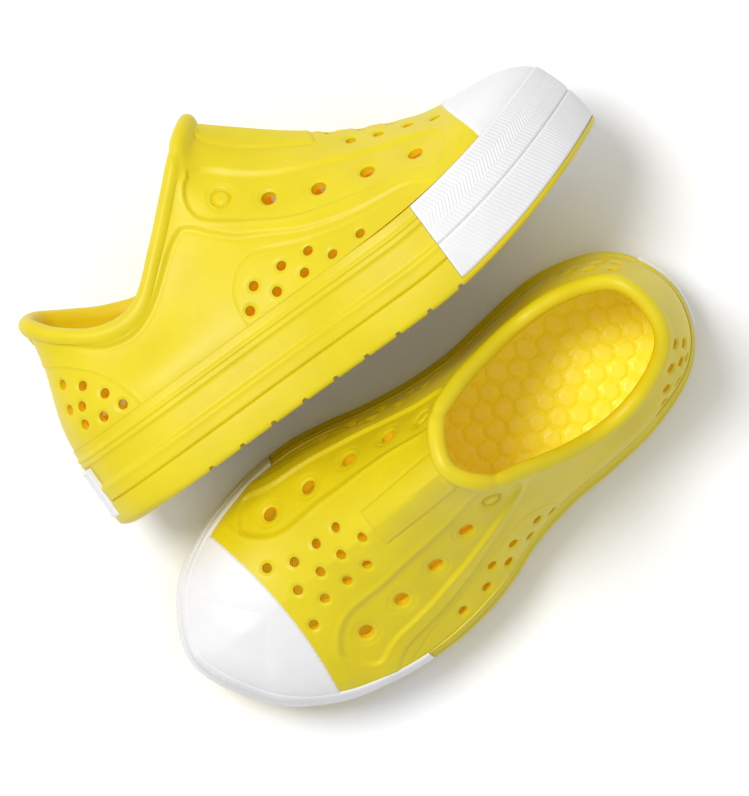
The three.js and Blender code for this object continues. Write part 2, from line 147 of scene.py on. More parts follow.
# A rib leaves the sole leaning in by the first number while it rises by the second, and reaches its
# top from the third outside and the fourth below. Four numbers for the outer side, four for the inner.
BENDS = np.array(
    [
        [1, 13, 1.5, 13, 1, 13, 1.5, 13],
        [1, 13, 1.5, 13, 1, 13, 1.5, 13],
        [0.7, 11, 1.5, 11, 0.7, 11, 1.5, 11],
        [0.5, 8, 1.5, 8, 0.5, 8, 1.5, 8],
        [0.5, 8, 2, 8, 0.5, 8, 2, 8],
        [1, 9, 2, 11, 1, 9, 2, 11],
        [1.8, 10.2, 2.1, 13.9, 2, 10, 2, 14],
        [7.7, 7.7, 2.1, 17.1, 4, 10, 2, 16],
        [9.9, 7.3, 4.5, 14.4, 5, 9, 9.5, 7],
        [7.3, 8.7, 7.8, 8.2, 3.3, 8.4, 9.7, 4.2],
        [7, 6.3, 11.3, 5.3, 3.8, 7, 13.6, 3.1],
        [3.8, 7.1, 13, 2.2, 1.8, 7.7, 14.8, 0.2],
        [2, 5, 11, 0.3, 2, 5, 11, 0],
        [2, 2.5, 7, 0, 2, 2.5, 7, 0],
    ]
)
# ridge in front of the tongue, on ribs 9 to 13: x, y, z
RIDGE = np.array([[108, -0.8, 65], [125, -0.8, 54], [141, -0.8, 47.6], [154, -0.9, 45.2], [162, -1, 44.4]])
TONGUE = 8  # rib at the tip of the tongue
TOE = len(RIBS) - 1
ROUND = 2 * TOE  # ribs all the way round

# The rolled edge's section, outwards and up from its centre, in radii
ROLL_FOOT = (0.5, -1.3)
ROLL = [(0.92, -0.95), (1.02, -0.45), (1.02, 0.0), (0.92, 0.38), (0.7, 0.7), (0.38, 0.92), (0, 1)]
ROLL += [(-0.38, 0.92), (-0.7, 0.7), (-0.92, 0.38), (-1.0, 0.0), (-1.0, -0.5), (-0.92, -0.95)]
ROLL_END = (-0.8, -1.3)

STEPS_PER_RIB = 34
WALL_ROWS = 120
LINING_ROWS = 16
CAP_ROW_STEP = 10
DEPTH_STEP = 3
FOOTBED_ALONG = 320
FOOTBED_ACROSS = 96
HOLE_SIDES = 28

# Holes of the vamp: x, then y out from its middle. Holes of the sides: x, z.
EYELETS = [(93.6, 18.1), (107.2, 20.6), (121.6, 21.7), (135.7, 22.9)]
BLIND_EYELET = (82.4, 16.0)
VAMP_HOLES = [(117.6, 0), (125.8, 0), (134.1, 0), (143.2, 0)]
VAMP_HOLES += [(x, side * 6.8) for x in (121.8, 129.8, 138.6) for side in (1, -1)]
VAMP_HOLES += [(146, 10.9), (146, -10.9)]
SIDE_HOLES = [(75.9, 35.8), (85.8, 35.8), (94.7, 34.7), (70.7, 30.4), (80.5, 30.4), (90.4, 30.2)]
SIDE_HOLES += [(100.3, 29.9), (110, 29.9)]
HEEL_HOLES = [(11.5, 45.6), (17, 41.9), (8.9, 38.3), (13, 37.2), (21.4, 36.4), (10.6, 32.2), (17.1, 31)]
HEEL_HOLES += [(24.3, 30.6)]

# Edges of the moulded panels. Most are seen square to the upper's flank: x along it and w up it.
BAND_EDGE = [(6, 50), (8.5, 44), (10.7, 40.5), (14.4, 32.7), (18.2, 27.8), (24.6, 21.9), (29.3, 18.4)]
BAND_EDGE += [(34.7, 16.3), (39.6, 15.9), (44.7, 17.1), (49.4, 19.3), (55.4, 23.3), (61.1, 27.6)]
BAND_EDGE += [(65.5, 30.1), (68.1, 30.6), (71.2, 28.5), (74.7, 24.4), (79.8, 19.6), (84, 17)]
BAND_EDGE += [(89.5, 13.6), (96, 9.6), (104, 6), (112, 3.3), (120, 1.6), (127, 0.4), (132, -2), (137, -7)]
CHANNEL_TOP = [(72, 43), (78, 43.2), (82, 42.8), (85.5, 40.4), (90, 37), (96.5, 33), (105, 29.4)]
CHANNEL_TOP += [(114, 26.2), (122, 23.2), (130, 21.4), (136, 19.9), (141, 17), (145, 12), (147, 4)]
CHANNEL_FRAME = [(79.5, 60), (78.5, 44), (75.6, 40), (73.6, 37), (72.9, 33.5), (74, 30), (78, 26.6)]
CHANNEL_FRAME += [(82.5, 23.4), (88, 19.8), (95, 15.6), (101, 12.9), (108, 10.6), (115.5, 8.2)]
CHANNEL_FRAME += [(122.5, 6.7), (128.5, 5.6), (133.5, 3.6), (137, 1.4), (139.4, 1), (142, 3.4)]
CHANNEL_FRAME += [(144.4, 7.8), (147, 13)]
SIDE_EDGE = [(78, 14.6), (83, 12.5), (89.2, 9.4), (97, 5.7), (103, 3.4), (110, 1), (116, -0.4)]
SIDE_EDGE += [(122, -1.8), (130, -5.5)]
ARCH = [(67.6, -6), (68, 2), (69.6, 6.7), (72, 9.4), (75.2, 11.6), (79, 12.4), (83.8, 11.4)]
ARCH += [(89, 8.4), (96, 4.6)]
# This one is seen from the side: x, z.
HEEL_ARC = [(3, 53.6), (8.5, 52.8), (14.3, 49.9), (19, 46.1), (23.6, 41.2), (26.7, 35.4), (28.5, 30)]
HEEL_ARC += [(29.3, 24)]

# ---- Looks --------------------------------------------------------------------------------------
SMOOTH_ANGLE = 35.0
FOAM_ROUGHNESS = 0.42
FOAM_DARK = (0.66, 0.53, 0.005)
FOAM_LIGHT = (0.71, 0.575, 0.007)
# painted shade: the orange the upper's foam turns deep inside the shoe, where its walls shade and light
# bounces
INSIDE_PAINTED_SHADE = (0.93, 0.50, 0.006)
# painted glow: emission deep inside the upper for the light that soaks through its walls
INSIDE_PAINTED_GLOW = (0.13, 0.05, 0.001)
FOOTBED_ROUGHNESS = 0.3
# painted light: the footbed's foam is a lighter copy of the shell's, for the light that bounces into the cup
FOOTBED_DARK = (0.90, 0.82, 0.04)
FOOTBED_LIGHT = (0.94, 0.86, 0.05)
# painted glow: even emission over the footbed for the light that reaches it through the foam
FOOTBED_PAINTED_GLOW = (0.09, 0.11, 0.004)
RUBBER_DARK = (0.74, 0.73, 0.73)
RUBBER_LIGHT = (0.78, 0.77, 0.77)
FLOOR_DARK = (0.93, 0.93, 0.935)
FLOOR_LIGHT = (0.94, 0.94, 0.945)
SLOTS = {
    "upper": "foam_yellow",
    "midsole": "foam_yellow",
    "outsole": "foam_yellow",
    "footbed": "footbed_yellow",
    "toe_cap": "rubber_white",
    "toe_bumper": "rubber_white",
    "toe_foxing": "rubber_white",
    "heel_badge": "rubber_white",
}


# ---- Curves of the last -------------------------------------------------------------------------
def smooth(place, table, first=0, periodic=True):
    """Catmull-Rom values of a table, one row for each whole place counted from first."""
    place = np.asarray(place, float) - first
    i = np.floor(place).astype(int)
    t = (place - i)[..., None] if table.ndim > 1 else place - i
    n = len(table)
    a, b, c, d = (table[(i + k) % n if periodic else np.clip(i + k, 0, n - 1)] for k in (-1, 0, 1, 2))
    return b + 0.5 * t * (c - a + t * (2 * a - 5 * b + 4 * c - d + t * (3 * (b - c) + d - a)))


def round_table(outer, inner, last):
    """A table for places 0 to 2*last-1 round the clog, by the outer side and back by the inner."""
    return np.concatenate([outer[: last + 1], inner[last - 1 : 0 : -1]])


SOLE_X, SOLE_OUTER, SOLE_INNER, LEAN = range(4)
RIM_X, RIM_OUTER, RIM_INNER, RIM_OUTER_Z, RIM_INNER_Z = range(5)
SOLE_TABLE = round_table(RIBS[:, [SOLE_X, SOLE_OUTER]], RIBS[:, [SOLE_X, SOLE_INNER]], TOE)
SHAPE_TABLE = round_table(np.c_[RIBS[:, LEAN], BENDS[:, :4]], np.c_[RIBS[:, LEAN], BENDS[:, 4:]], TOE)
RIM_TABLE = round_table(
    RIMS[:, [RIM_X, RIM_OUTER, RIM_OUTER_Z]], RIMS[:, [RIM_X, RIM_INNER, RIM_INNER_Z]], TONGUE
)


def outline(place, inset=0.0):
    """The sole's edge in plan, moved in by inset, and the level direction out of it."""
    step = 1e-3
    tangent = smooth(place + step, SOLE_TABLE) - smooth(place - step, SOLE_TABLE)
    tangent /= np.linalg.norm(tangent, axis=-1, keepdims=True)
    outward = np.stack([-tangent[..., 1], tangent[..., 0]], -1)
    return smooth(place, SOLE_TABLE) - outward * np.asarray(inset)[..., None], outward


def spring(x):
    """How far the sole's curve up to the toe lifts it off the floor."""
    share = np.maximum(0, (x - LENGTH + SPRING_LENGTH) / SPRING_LENGTH)
    return TOE_SPRING * share**SPRING_CURVE


def sole_points(place, height, inset):
    """Points of the sole's side. place, height and inset broadcast together."""
    place, height, inset = np.broadcast_arrays(place, height, np.asarray(inset, float))
    share = height / FEATHER_HEIGHT
    plan, _ = outline(place, inset + smooth(place, SHAPE_TABLE)[..., 0] * share**2)
    z = height + spring(plan[..., 0]) * (1 - SPRING_LOSS * share)
    return np.concatenate([plan, z[..., None]], -1)


def rim_points(place, out, up, radius=RIM_RADIUS):
    """Points of the rolled edge, out and up from its centre in radii."""
    step = 1e-3
    centre = smooth(place, RIM_TABLE)
    along = (smooth(place + step, RIM_TABLE) - smooth(place - step, RIM_TABLE))[..., :2]
    along /= np.linalg.norm(along, axis=-1, keepdims=True)
    outward = np.stack([-along[..., 1], along[..., 0]], -1)
    radius = np.asarray(radius)
    plan = centre[..., :2] + outward * (out * radius)[..., None]
    return np.concatenate([plan, (centre[..., 2] + up * radius)[..., None]], -1)


def ridge_points(place):
    """Points of the ridge, which starts under the rolled edge at the tip of the tongue."""
    start = rim_points(np.array([float(TONGUE)]), ROLL_FOOT[0], np.array([ROLL_FOOT[1]]))
    return smooth(np.abs(place), np.vstack([start, RIDGE]), first=TONGUE, periodic=False)


def ridge_slope(place):
    step = 1e-2
    low = ridge_points(np.maximum(np.abs(place) - step, TONGUE))
    high = ridge_points(np.minimum(np.abs(place) + step, TOE))
    return (high[..., 2] - low[..., 2]) / (high[..., 0] - low[..., 0])


def signed(place):
    """The place counted from the heel: up to TOE on the outer side and down to -TOE on the inner."""
    return place - ROUND * np.round(place / ROUND)


def bare_upper(place, levels):
    """The upper's outside before any moulded detail: an array (levels, places, 3)."""
    s = signed(place)
    vamp = np.abs(s) >= TONGUE
    _, outward = outline(s)
    out = np.concatenate([outward, np.zeros((len(s), 1))], -1)
    shape = smooth(s, SHAPE_TABLE)
    foot = sole_points(s, FEATHER_HEIGHT, LEDGE) + [0, 0, CLEARANCE]
    rim = rim_points(s, ROLL_FOOT[0], np.full(len(s), ROLL_FOOT[1]))
    top = np.where(vamp[:, None], ridge_points(s), rim)
    low = foot - out * shape[:, 1:2] + np.outer(shape[:, 2], [0, 0, 1])
    high = top + out * shape[:, 3:4] - np.outer(shape[:, 4], [0, 0, 1])
    ease = np.clip(np.abs(s) - TONGUE, 0, 1)
    high[:, 2] += np.where(vamp, ridge_slope(s) * (high[:, 0] - top[:, 0]) * ease, 0)
    t = np.asarray(levels)[:, None, None]
    return (1 - t) ** 3 * foot + 3 * t * (1 - t) ** 2 * low + 3 * t * t * (1 - t) * high + t**3 * top


def soften_tongue(grid, place):
    """Spread out the crease that runs down from the corners of the tongue."""
    crease, reach, edge = 0.2, 1.1, 0.1
    near = np.exp(-(((np.abs(signed(place)) - TONGUE - crease) / reach) ** 2))
    below = np.clip((1 - np.linspace(0, 1, len(grid))) / edge, 0, 1)
    share = 0.5 * np.outer(below, near)[..., None]
    steps, repeats = [12, 8, 5, 3, 2, 1], 8
    for step in np.repeat(steps, repeats):
        middle = (np.roll(grid, step, 1) + np.roll(grid, -step, 1)) / 2
        grid = grid + share * (middle - grid)
    return grid


def unit(v):
    return v / np.maximum(np.linalg.norm(v, axis=-1, keepdims=True), 1e-12)


def grid_normals(grid, place):
    """Outward normals of bare_upper's grid. The foot's are level and the ridge's are in the middle."""
    around = np.roll(grid, -1, 1) - np.roll(grid, 1, 1)
    rise = np.gradient(grid, axis=0)
    normal = unit(np.cross(rise, around))
    normal[0, :, 2] = 0
    s = signed(place)
    vamp = np.abs(s) >= TONGUE
    slope = ridge_slope(s)
    ridge = np.stack([-slope, np.zeros_like(slope), np.ones_like(slope)], -1)
    normal[-1, vamp] = ridge[vamp]
    return unit(normal)


# ---- Moulded detail of the upper ----------------------------------------------------------------
def rounded(corners, steps=5):
    """A smooth line through corners."""
    table = np.array(corners, float)
    return smooth(np.arange((len(table) - 1) * steps + 1) / steps, table, periodic=False)


def inside(points, loop):
    """Whether each point falls inside a closed loop."""
    x, y = points[..., 0], points[..., 1]
    hits = np.zeros(x.shape, bool)
    for (x0, y0), (x1, y1) in zip(loop, np.roll(loop, -1, 0)):
        if y0 != y1:
            hits ^= ((y0 > y) != (y1 > y)) & (x < x0 + (y - y0) * (x1 - x0) / (y1 - y0))
    return hits


def way_to(points, line):
    """The vector from each point to the nearest place on a line."""
    best = np.full(points.shape, 1e6)
    for start, end in zip(line[:-1], line[1:]):
        along = end - start
        share = np.clip(((points - start) @ along) / max(along @ along, 1e-9), 0, 1)
        way = start + share[..., None] * along - points
        nearer = (way**2).sum(-1) < (best**2).sum(-1)
        best = np.where(nearer[..., None], way, best)
    return best


class Relief:
    """Distances on the upper's outside, from which its raised and sunk detail is made."""

    def __init__(self, grid, normal):
        self.grid = grid
        self.normal = normal
        self.x, y, self.z = np.moveaxis(grid, -1, 0)
        self.out = np.abs(y - MIDDLE)
        self.hand = np.where(y >= MIDDLE, 1.0, -1.0)

    def flank_view(self):
        """Points seen square to the flank, and the way up that view."""
        up = np.stack([np.zeros_like(self.x), -self.hand, np.ones_like(self.x)], -1) * math.sqrt(0.5)
        return np.stack([self.x, (self.z - self.out) * math.sqrt(0.5)], -1), up

    def side_view(self):
        return np.stack([self.x, self.z], -1), np.broadcast_to([0.0, 0.0, 1.0], self.grid.shape)

    def into(self, view, edge, closing):
        """Distance over the surface into the region that an edge and closing corners enclose."""
        points, up = view
        line = rounded(edge)
        way = way_to(points, line)
        distance = np.linalg.norm(way, axis=-1)
        heading = way / np.maximum(distance, 1e-9)[..., None]
        lean = heading[..., 0] * self.normal[..., 0] + heading[..., 1] * (up * self.normal).sum(-1)
        steepest = 0.35
        distance = distance / np.maximum(np.sqrt(np.maximum(1 - lean**2, 0)), steepest)
        loop = np.concatenate([line, np.array(closing, float)])
        return np.where(inside(points, loop), distance, -distance)

    def index_from_above(self, x, out, side):
        gap = (self.x - x) ** 2 + (side * self.hand * self.out - out) ** 2
        return np.unravel_index(np.argmin(gap), gap.shape)

    def index_from_side(self, x, z, side):
        gap = (self.x - x) ** 2 + (self.z - z) ** 2
        return np.unravel_index(np.argmin(np.where(self.hand == side, gap, np.inf)), gap.shape)

    def near(self, index):
        return np.linalg.norm(self.grid - self.grid[index], axis=-1)


def step_up(distance, width):
    t = np.clip(distance / width + 0.5, 0, 1)
    return t * t * (3 - 2 * t)


def ridge_of(distance, width):
    return np.exp(-((distance / width) ** 2))


def eyelet_relief(distance, blind):
    """A shallow ring with a bevelled hole, or with a groove round a disc where there is no hole."""
    ring = -RING_SINK * (1 - step_up(distance - EYELET_RING, 0.7))
    ring -= EDGE_GROOVE * ridge_of(distance - EYELET_RING, 0.5)
    reach = distance - EYELET_BORE / 2
    if blind:
        return ring - BLIND_GROOVE * ridge_of(reach - 0.4, 0.45)
    return ring - EYELET_BEVEL * ridge_of(np.maximum(reach, 0), 0.6)


def hole_spots(relief):
    """Every hole through the upper: where it is on the grid, and its bore."""
    spots = [(relief.index_from_above(x, out, side), EYELET_BORE) for x, out in EYELETS for side in (1, -1)]
    spots += [(relief.index_from_above(x, out, 1), PERFORATION_BORE) for x, out in VAMP_HOLES]
    sides = [(x, z, side) for x, z in SIDE_HOLES + HEEL_HOLES for side in (1, -1)]
    return spots + [(relief.index_from_side(*spot), PERFORATION_BORE) for spot in sides]


def panel_relief(relief):
    """The collar band, the eyelets' channel, and the edges below them."""
    flank = relief.flank_view()
    band = relief.into(flank, BAND_EDGE, [(200, -7), (200, 200), (6, 200)])
    top = relief.into(flank, CHANNEL_TOP, [(147, -90), (72, -90)])
    frame = relief.into(flank, CHANNEL_FRAME, [(147, 60)])
    side = relief.into(flank, SIDE_EDGE, [(200, -5.5), (200, 200), (78, 200)])
    arch = relief.into(flank, ARCH, [(150, 4.6), (150, -60), (67.6, -60)])
    heel = relief.into(relief.side_view(), HEEL_ARC, [(-20, 24), (-20, 53.6)])
    fade = 1 - step_up(relief.x - FADE_MIDDLE, FADE_LENGTH)
    height = COLLAR_BAND_RISE * fade * step_up(band - 0.2, 1.6) - EDGE_GROOVE * ridge_of(band + 0.9, 0.7)
    height -= CHANNEL_DEPTH * step_up(top, 2.6) * step_up(frame, 1.3)
    height += CHANNEL_LIP * ridge_of(top + 1.5, 0.8) * step_up(relief.x - 86, 4)
    height += FRAME_LIP * ridge_of(frame + 0.8, 0.6) * step_up(top, 1)
    height += SIDE_STEP * step_up(side, 1.0) * step_up(relief.x - 84, 10) * fade
    height += (ARCH_STEP * step_up(arch, 0.7) - 0.1 * ridge_of(arch, 0.45)) * (1 - step_up(side + 1, 2))
    return height - HEEL_STEP * step_up(heel, 0.8) + EDGE_GROOVE * ridge_of(heel + 0.5, 0.5)


def tongue_relief(relief):
    """The tongue's raised flat panel, with a groove along its edges."""
    edge = np.minimum(TONGUE_HALF - relief.out, TONGUE_FRONT - relief.x)
    panel = TONGUE_RISE * step_up(edge, 0.9) - TONGUE_GROOVE * ridge_of(edge + 0.4, 0.5)
    return np.where(relief.x > TONGUE_REAR, panel, 0)


def upper_relief(relief):
    """How far all of the moulded detail stands out of the upper's bare outside."""
    height = panel_relief(relief) + tongue_relief(relief)
    for side in (1, -1):
        for x, out in EYELETS:
            height += eyelet_relief(relief.near(relief.index_from_above(x, out, side)), False)
        height += eyelet_relief(relief.near(relief.index_from_above(*BLIND_EYELET, side)), True)
    for index, bore in hole_spots(relief):
        if bore == PERFORATION_BORE:
            height -= PERFORATION_BEVEL * ridge_of(np.maximum(relief.near(index) - bore / 2, 0), 0.55)
    return height


# ---- Meshes -------------------------------------------------------------------------------------
def ring_faces(rows, columns, keep=None):
    """Quads between consecutive rings of points, facing out of a clockwise stack."""
    r, c = np.meshgrid(np.arange(rows - 1), np.arange(columns), indexing="ij")
    if keep is not None:
        r, c = r[keep], c[keep]
    r, c = r.ravel(), c.ravel()
    n = (c + 1) % columns
    return np.stack([r * columns + c, (r + 1) * columns + c, (r + 1) * columns + n, r * columns + n], -1)


def make_mesh(name, points, faces):
    """An object from points in millimetres."""
    mesh = bpy.data.meshes.new(name)
    faces = faces.tolist() if isinstance(faces, np.ndarray) else faces
    mesh.from_pydata((points * 0.001).tolist(), [], faces)
    mesh.update()
    thing = bpy.data.objects.new(name, mesh)
    bpy.context.scene.collection.objects.link(thing)
    return thing


def weld(thing):
    """Join points that coincide, but not neighbours on the ridge: cut() needs a closed mesh."""
    bm = bmesh.new()
    bm.from_mesh(thing.data)
    bmesh.ops.remove_doubles(bm, verts=bm.verts, dist=2e-7)
    bmesh.ops.dissolve_degenerate(bm, dist=2e-8, edges=bm.edges)
    bm.to_mesh(thing.data)
    bm.free()
    return thing


def smooth_shading(thing):
    thing.data.shade_smooth()
    thing.data.set_sharp_from_angle(angle=math.radians(SMOOTH_ANGLE))


def lid_faces(ring, n, up):
    """Strips across a ring of n points that starts at index ring, from its outer to its inner side."""
    faces = []
    for k in range(n // 2):
        quad = [ring + (n - k) % n, ring + n - k - 1, ring + k + 1, ring + k]
        quad = list(dict.fromkeys(quad))
        faces.append(quad if up else quad[::-1])
    return faces


def stack_mesh(name, grid):
    """A closed mesh from rings of points, with a lid on the first and the last."""
    rows, columns = grid.shape[:2]
    faces = ring_faces(rows, columns).tolist()
    faces += lid_faces(0, columns, False)
    faces += lid_faces((rows - 1) * columns, columns, True)
    return make_mesh(name, grid.reshape(-1, 3), faces)


def cut(thing, cutter, operation="DIFFERENCE"):
    modifier = thing.modifiers.new("cut", "BOOLEAN")
    modifier.operation = operation
    modifier.solver = "MANIFOLD"
    modifier.object = cutter
    bpy.context.view_layer.update()
    result = bpy.data.meshes.new_from_object(thing.evaluated_get(bpy.context.evaluated_depsgraph_get()))
    thing.modifiers.clear()
    old = thing.data
    thing.data = result
    bpy.data.meshes.remove(old)
    bpy.data.objects.remove(cutter)
    return thing


def places():
    return np.arange(ROUND * STEPS_PER_RIB) / STEPS_PER_RIB


def side_profile(height):
    """How far the midsole's side stands in at a height: a step, a hollow face and two beads."""
    inset = 0.95 * step_up(height - 14.4, 1.5) - 0.2 * ridge_of(height - 13.4, 0.9)
    inset -= 0.5 * ridge_of(height - 22.0, 0.75) + 0.6 * ridge_of(height - 23.8, 0.7)
    return inset + 0.15 + 0.55 * ridge_of(height - OUTSOLE_HEIGHT, 0.35)


def band_rear(margin=0.0):
    """The place on the outer side where the toe bands end, moved back by margin."""
    half = np.linspace(0, TOE, 2000)
    return place_where(smooth(half, SOLE_TABLE)[:, 0], LENGTH - BAND_LENGTH - margin, half)


def badge_ends(margin=0.0):
    """The places on the inner and on the outer side where the badge ends, moved out by margin."""
    spots = np.linspace(-3, 3, 2000)
    reach = BADGE_WIDTH / 2 + margin
    y = smooth(spots, SOLE_TABLE)[:, 1]
    return [place_where(y, SOLE_TABLE[0, 1] + side * reach, spots) for side in (-1, 1)]


def sole_places():
    """Places round the sole, with pairs at the ends of the seats of the toe bands and the badge."""
    rear = band_rear(SEAT_GAP)
    ends = [rear, -rear, *badge_ends(SEAT_GAP)]
    pairs = [end + gap for end in ends for gap in (-0.002, 0.002)]
    return np.sort(np.concatenate([places(), np.mod(pairs, ROUND)]))


def seated(place, height, inset):
    """The inset deepened under the heel's rounded edge, and where a toe band or the badge sits."""
    s = signed(place)
    low, high = badge_ends(SEAT_GAP)
    worn = HEEL_ROUND * np.clip(1 - height / HEEL_ROUND, 0, 1) ** 2 * (1 - step_up(np.abs(s) - 2.2, 2))
    inset = inset + worn
    banded = (np.abs(s) > band_rear(SEAT_GAP)) & (height > BAND_BOTTOM - SEAT_GAP)
    badged = (s > low) & (s < high) & (height > BADGE_BOTTOM - SEAT_GAP) & (height < BADGE_TOP + SEAT_GAP)
    inset = np.where(banded, np.maximum(inset, BAND_THICKNESS + SEAT_GAP), inset)
    return np.where(badged, np.maximum(inset, BADGE_THICKNESS - BADGE_PROUD + SEAT_GAP), inset)


def sole_piece(name, profile, seat_edges, inner=()):
    """A piece of the sole from its side's (height, inset) pairs and its inner rings."""
    s = sole_places()
    heights = np.array([h for h, _ in profile])
    insets = np.array([inset for _, inset in profile])
    edges = [edge + gap for edge in seat_edges for gap in (-0.01, 0.01)]
    levels = np.sort(np.concatenate([heights, edges]))
    rings = [sole_points(s, h, seated(s, h, np.interp(h, heights, insets))) for h in levels]
    rings += [sole_points(s, h, inset) for h, inset in inner]
    return stack_mesh(name, np.array(rings))


def make_midsole(name):
    heights = np.linspace(OUTSOLE_HEIGHT, FEATHER_HEIGHT, 70)
    lip = [(FEATHER_HEIGHT + 0.27, LEDGE - 0.15), (FEATHER_HEIGHT + 0.27, LEDGE + 0.6)]
    cup = [(FEATHER_HEIGHT, LEDGE + 1.2), (FEATHER_HEIGHT, SOLE_WALL)]
    cup += [(24.0, SOLE_WALL + 0.3), (20.0, SOLE_WALL + 0.3), (CUP_FLOOR, SOLE_WALL + 1)]
    return sole_piece(name, list(zip(heights, side_profile(heights))), [BADGE_TOP + SEAT_GAP], lip + cup)


def make_outsole(name):
    profile = [(0, 1.3), (0.1, 0.9), (0.35, 0.5), (0.75, 0.2), (1.3, 0.04), (2, 0), (5, 0), (8, 0)]
    profile += [(8.6, 0.05), (OUTSOLE_HEIGHT - 0.15, 0.4), (OUTSOLE_HEIGHT, 0.75)]
    thing = sole_piece(name, profile, [BAND_BOTTOM - SEAT_GAP, BADGE_BOTTOM - SEAT_GAP])
    for k in range(TREAD_COUNT):
        thing = cut(thing, tread_cutter(TREAD_START + k * TREAD_PITCH))
    return thing


def tread_cutter(x):
    """A cross groove that widens towards the floor."""
    z = float(spring(np.array(x)))
    half, flare = TREAD_WIDTH / 2, TREAD_WIDTH / 2 + TREAD_FLARE
    section = [(x - flare, z - 1), (x + flare, z - 1), (x + flare, z), (x + half, z + TREAD_DEPTH)]
    section += [(x - half, z + TREAD_DEPTH), (x - flare, z)]
    points = [(px, side * 70, pz) for side in (-1, 1) for px, pz in section]
    n = len(section)
    faces = [list(range(n)), list(range(2 * n - 1, n - 1, -1))]
    faces += [[(k + 1) % n, k, n + k, n + (k + 1) % n] for k in range(n)]
    return make_mesh("tread_cutter", np.array(points), faces)


def hexagons(x, y, pitch):
    """Distance in from the edge of the hexagon cell that holds each point."""
    best = np.full(x.shape, -1e9)
    centres = []
    for shift in (0, 0.5):
        cx = np.round(x / (pitch * math.sqrt(3)) - shift) + shift
        cy = np.round(y / pitch - shift) + shift
        centres.append((cx * pitch * math.sqrt(3), cy * pitch))
    for cx, cy in centres:
        dx, dy = np.abs(x - cx), np.abs(y - cy)
        best = np.maximum(best, pitch / 2 - np.maximum(dy, dx * math.sqrt(3) / 2 + dy / 2))
    return best


def footbed_face(base):
    """One plain face of the footbed, as a grid of points, and the two edges it spans."""
    half = np.linspace(0, TOE, FOOTBED_ALONG)
    inset = SOLE_WALL + 1 + CLEARANCE
    t = 0.5 - 0.5 * np.cos(np.linspace(0, math.pi, FOOTBED_ACROSS))
    outer = sole_points(half, base, inset)
    inner = sole_points(-half, base, inset)
    grid = outer[:, None] * (1 - t)[None, :, None] + inner[:, None] * t[None, :, None]
    return grid, (outer, inner)


def footbed_relief(grid, edges):
    """Rounded hexagons over the middle, and a rim that turns up round the edge."""
    edge = np.minimum(*[np.linalg.norm(grid - line[:, None], axis=-1) for line in edges])
    cell = hexagons(grid[..., 0], grid[..., 1], HEX_PITCH)
    relief = 0.65 * step_up(cell - 0.5, 0.8) * step_up(edge - 2.0, 2.0)
    cup = 3.2 * np.exp(-((edge / 4.0) ** 2)) - 0.6 * ridge_of(edge, 0.45)
    return relief + cup - 0.6


def make_footbed(name):
    bottom, _ = footbed_face(CUP_FLOOR + CLEARANCE)
    top, edges = footbed_face(CUP_FLOOR + CLEARANCE + FOOTBED_THICKNESS)
    top[..., 2] += footbed_relief(top, edges)
    points = np.concatenate([grid.reshape(-1, 3) for grid in (bottom, top)])
    across, n = FOOTBED_ACROSS, FOOTBED_ALONG * FOOTBED_ACROSS
    r, c = np.meshgrid(np.arange(FOOTBED_ALONG - 1), np.arange(across - 1), indexing="ij")
    a = (r * across + c).ravel()
    quads = np.stack([a, a + across, a + across + 1, a + 1], -1)
    faces = np.concatenate([quads[:, ::-1] + n, quads]).tolist()
    for column in (0, across - 1):
        for row in range(FOOTBED_ALONG - 1):
            a, b = row * across + column, (row + 1) * across + column
            faces.append([a, b, b + n, a + n][:: 1 if column else -1])
    return make_mesh(name, points, faces)


def shell_mesh(name, outer, lining, roll_rows, place):
    """A closed shell: the outside up, over the rolled edge or meeting on the ridge, and down the lining."""
    rings = np.concatenate([outer, roll_rows, lining, outer[:1]])
    columns = len(place)
    s = signed(place)
    beyond = np.abs(s) + np.abs(signed(np.roll(place, -1))) > 2 * TONGUE
    rows = len(rings)
    keep = np.ones((rows - 1, columns), bool)
    first = len(outer) - 1
    keep[first : first + len(roll_rows) + 1, beyond] = False
    faces = ring_faces(rows, columns, keep)
    return make_mesh(name, rings.reshape(-1, 3), faces)


def roll_grid(place):
    """The rolled edge's rows. On the vamp, where shell_mesh leaves them out, they wait at the tongue."""
    s = np.where(np.abs(signed(place)) > TONGUE, TONGUE, signed(place))
    notch = 1 - NOTCH_SHARE * ridge_of(np.abs(s) - NOTCH_PLACE, NOTCH_WIDTH)
    return np.array([rim_points(s, out, np.full(len(s), up), RIM_RADIUS * notch) for out, up in ROLL])


def make_upper(name):
    """The upper, with the relief and the bare grid that its cap is made from."""
    place = places()
    s = signed(place)
    vamp = np.abs(s) >= TONGUE
    bare = soften_tongue(bare_upper(place, np.linspace(0, 1, WALL_ROWS + 1)), place)
    normal = grid_normals(bare, place)
    relief = Relief(bare, normal)
    outer = bare + normal * upper_relief(relief)[..., None]
    pick = np.round(np.linspace(1, 0, LINING_ROWS + 1) * WALL_ROWS).astype(int)
    lining = bare[pick] - normal[pick] * WALL
    end = rim_points(s, ROLL_END[0], np.full(len(s), ROLL_END[1]))
    lining[0] = np.where(vamp[:, None], lining[0], end)
    thing = weld(shell_mesh(name, outer, lining, roll_grid(place), place))
    cut(thing, hole_cutters(relief))
    mark_depth(thing, relief)
    return thing, relief


